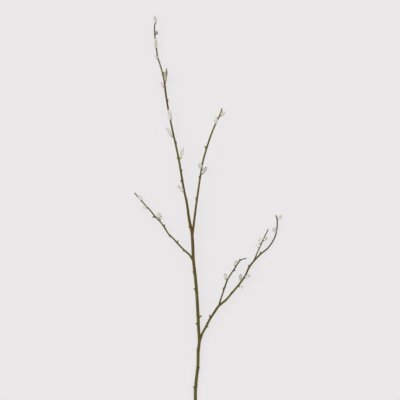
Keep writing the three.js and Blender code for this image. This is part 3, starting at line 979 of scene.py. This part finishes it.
def hair_spikes(catkin, rng):
    """The vertices of every hair: three at the root, three half way and one at the tip."""
    core_length = catkin.length - CORE_TIP_INSET
    height, turn, shade, sway = hair_roots(catkin, rng)
    count = len(height)
    share = height / core_length
    radius = catkin.core_radius(share)
    ahead = catkin.core_radius(np.minimum(share + SLOPE_STEP, 1))
    slope = (ahead - radius) / (SLOPE_STEP * core_length)
    radial = catkin.outward(turn)
    around = np.cross(catkin.axis, radial)
    normal = unit(radial - slope[:, None] * catkin.axis)
    root = catkin.foot + np.outer(height, catkin.axis) + radial * radius[:, None] - normal * HAIR_SINK
    length = HAIR_LENGTH * rng.uniform(*HAIR_LENGTHS, count)
    length = length * np.interp(share, (0, FOOT_REACH), (FOOT_HAIR, 1))
    lay = np.interp(share, (0, FOOT_REACH), (FOOT_LEAN, 1))[:, None]
    spread = rng.normal(0, LEAN_SPREAD, (count, 2))
    leans = np.radians(lay * np.array(HAIR_LEANS) + spread + TUFT_LEAN * sway[:, :1])
    drift = sway[:, 1] + rng.normal(0, HAIR_SWAY * SWAY, count)

    def heading(lean):
        way = normal * np.cos(lean)[:, None] + catkin.axis * np.sin(lean)[:, None]
        return unit(way + around * drift[:, None])

    lower, upper = heading(leans[:, 0]), heading(leans[:, 1])
    middle = root + lower * (length / 2)[:, None]
    tip = middle + upper * (length / 2)[:, None]
    wide = unit(np.cross(lower, normal))
    thick = HAIR_FLATNESS * np.cross(wide, lower)
    corners = []
    for centre, width in zip((root, middle), HAIR_WIDTHS):
        corners.extend(centre + width * way for way in (-wide, wide, 2 * thick))
    places = np.stack([*corners, tip], axis=1)
    shade = np.clip(TUFT_SHADE * shade + (1 - TUFT_SHADE) * rng.uniform(0, 1, count), 0, 1)
    return places, shade


def hair_faces(count, start):
    """The faces of that many hairs, whose vertices follow each other from start."""
    base = start + len(HAIR_SHARES) * np.arange(count)[:, None]
    root, middle, tip = (0, 1, 2), (3, 4, 5), 6
    pairs = ((0, 1), (1, 2), (2, 0))
    shafts = [base + np.array([root[a], root[b], middle[b], middle[a]]) for a, b in pairs]
    points = [base + np.array([middle[a], middle[b], tip]) for a, b in pairs]
    feet = [base + np.array([0, 2, 1])]
    return [*np.concatenate(shafts).tolist(), *np.concatenate(points + feet).tolist()]


def lay_out(mesh, across_map, along_map):
    """A map for baking, in which hairs of one shade share a column from root to tip."""
    layer = mesh.uv_layers.new(name="OFBake")
    corners = np.empty(len(mesh.loops), np.int32)
    mesh.loops.foreach_get("vertex_index", corners)
    along_map = BAKE_MARGIN + (1 - 2 * BAKE_MARGIN) * along_map
    places = np.stack([across_map, along_map], axis=-1)[corners]
    layer.data.foreach_set("uv", places.astype(np.float32).ravel())


def core_body(catkin):
    """The scaly core that the hairs stand on."""
    share = np.linspace(0, 1, CORE_ROWS)
    heights = share * (catkin.length - CORE_TIP_INSET)
    radius = catkin.core_radius(share)
    radius[[0, -1]] = 0
    centres = catkin.foot + np.outer(heights, catkin.axis)
    stagger = np.pi * np.arange(CORE_ROWS)[:, None]
    bumps = 1 + CORE_BUMP_HEIGHT * np.cos(CORE_BUMPS * full_turn(CORE_SIDES) + stagger)
    radii = radius[:, None] * bumps
    rows = np.ones((CORE_ROWS, 1))
    return sleeve(centres, rows * catkin.side, rows * -catkin.up, radii, rows * SILVER, 0.0, heights)


def catkin_piece(catkin, material):
    """A catkin's core and hairs, as one piece."""
    rng = np.random.default_rng(SEED + catkin.number)
    core = core_body(catkin)
    spikes, shade = hair_spikes(catkin, rng)
    count = len(spikes)
    start = len(core.places)
    places = np.vstack([core.places, spikes.reshape(-1, 3)])
    faces = core.faces + hair_faces(count, start)
    made = mesh_object(f"catkin_fur_{catkin.number:02d}", places, faces, material)
    share = np.concatenate([np.zeros(start), np.tile(HAIR_SHARES, count)])
    shades = np.concatenate([np.full(start, CORE_SHADE), np.repeat(shade, len(HAIR_SHARES))])
    beside = np.concatenate([core.grain[:, 0] / catkin.radius, np.tile(HAIR_SIDES, count)])
    set_attribute(made.data, "share", "FLOAT", "value", share)
    set_attribute(made.data, "shade", "FLOAT", "value", shades)
    tone = (*TONES.get(catkin.number, SILVER), 1.0)
    set_attribute(made.data, "tint", "FLOAT_COLOR", "color", np.tile(tone, (len(places), 1)))
    columns = 0.5 + BAKE_SPAN * (shades - 0.5)
    lay_out(made.data, columns + BAKE_WIDTH * beside, share)
    return made


def make_stem(shoots, catkins, material):
    """The wood with its buds, scars, pores, cups and scales, fused into one piece."""
    rng = np.random.default_rng(SEED)
    limbs, buds, scars, pores = [], [], [], []
    for name, shoot in shoots.items():
        own = [catkin for catkin in catkins if catkin.shoot is shoot]
        tips = side_bud_tips(shoot) + hidden_bud_tips(shoot, [catkin.root for catkin in own])
        nodes = [(catkin.along, catkin.towards()) for catkin in own if not catkin.is_terminal]
        for root_along, tip in tips:
            towards = shoot.turn_to(root_along, tip - shoot.point(root_along))
            nodes.append((root_along + NODE_AHEAD, towards))
            buds.append(bud_body(shoot, root_along, tip))
            scars.append(scar_body(shoot, max(root_along - SCAR_BACK, SCAR_FIRST), towards))
        has_terminal = any(catkin.is_terminal for catkin in own)
        limbs.append(shoot_body(shoot, nodes, name != "leader", has_terminal, rng))
        pores.extend(pore_bodies(shoot, rng))
    cups = [cup_body(catkin) for catkin in catkins]
    scales = [scale for catkin in catkins for scale in scale_bodies(catkin)]
    bodies = [*limbs, joined(buds), joined(scars), joined(pores), joined(cups), joined(scales)]
    stem = fused(bodies, material)
    dress(stem.data, bodies)
    side_shoots = [shoot for name, shoot in shoots.items() if name != "leader"]
    smooth_forks(stem.data, [shoot.point(FORK_PLACE * shoot.radius(0)) for shoot in side_shoots])
    stem.data.shade_smooth()
    return stem


def make_floor():
    """A pale floor that gives off most of its own light, so that shadows on it stay faint."""
    nodes = Nodes("floor")
    speck = nodes.noise(nodes.add("ShaderNodeTexCoord").outputs["Object"], *FLOOR_NOISE)
    nodes.surface({
        "Base Color": (FLOOR_GREY, FLOOR_GREY, FLOOR_GREY, 1),
        "Roughness": nodes.ramp(speck, WHOLE, FLOOR_ROUGHNESS),
        "Specular IOR Level": 0,
        "Emission Color": (*(FLOOR_GLOW * BACKDROP), 1),
        "Emission Strength": 1,
    })
    corners = FLOOR_HALF * np.array([(-1, -1, 0), (1, -1, 0), (1, 1, 0), (-1, 1, 0)])
    floor = mesh_object("floor", corners, [(0, 1, 2, 3)], nodes.material)


def make_light():
    """Even light from all round, and a broad soft light from the photo's upper left."""
    world = bpy.data.worlds.new("studio")
    world.use_nodes = True
    background = world.node_tree.nodes["Background"]
    background.inputs["Color"].default_value = (*BACKDROP, 1)
    background.inputs["Strength"].default_value = SKY_POWER
    bpy.context.scene.world = world
    lamp = bpy.data.lights.new("key", "SUN")
    lamp.energy = KEY_POWER
    lamp.angle = math.radians(KEY_WIDTH)
    key = placed("key", lamp)
    key.rotation_euler = (*np.radians(KEY_TILTS), 0)


def make_camera():
    """A camera straight above, that sees the photo's frame."""
    data = bpy.data.cameras.new("camera")
    data.lens = LENS
    data.sensor_width = SENSOR
    camera = placed("camera", data)
    x, y, _ = PHOTO_FOOT
    height = FRAME_HEIGHT + PHOTO_SPAN * LENS / SENSOR
    camera.location = (x * MM, (y + PHOTO_SPAN / 2) * MM, height * MM)
    bpy.context.scene.camera = camera


shoots = {name: Shoot(**values) for name, values in SHOOTS.items()}
stem_tree = tree_of(np.array([v.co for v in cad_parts["stem"].data.vertices]) / MM)
catkins = [Catkin(number, list(shoots.values()), stem_tree) for number in range(1, len(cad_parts))]

stem = make_stem(shoots, catkins, bark_material())
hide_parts("stem")
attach(stem, "root")

fur = fur_material()
for catkin in catkins:
    piece = catkin_piece(catkin, fur)
    piece.data.shade_smooth()
    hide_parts(catkin.node)
    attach(piece, "root")

make_floor()
make_light()
make_camera()
bpy.context.scene.view_settings.view_transform = "Standard"
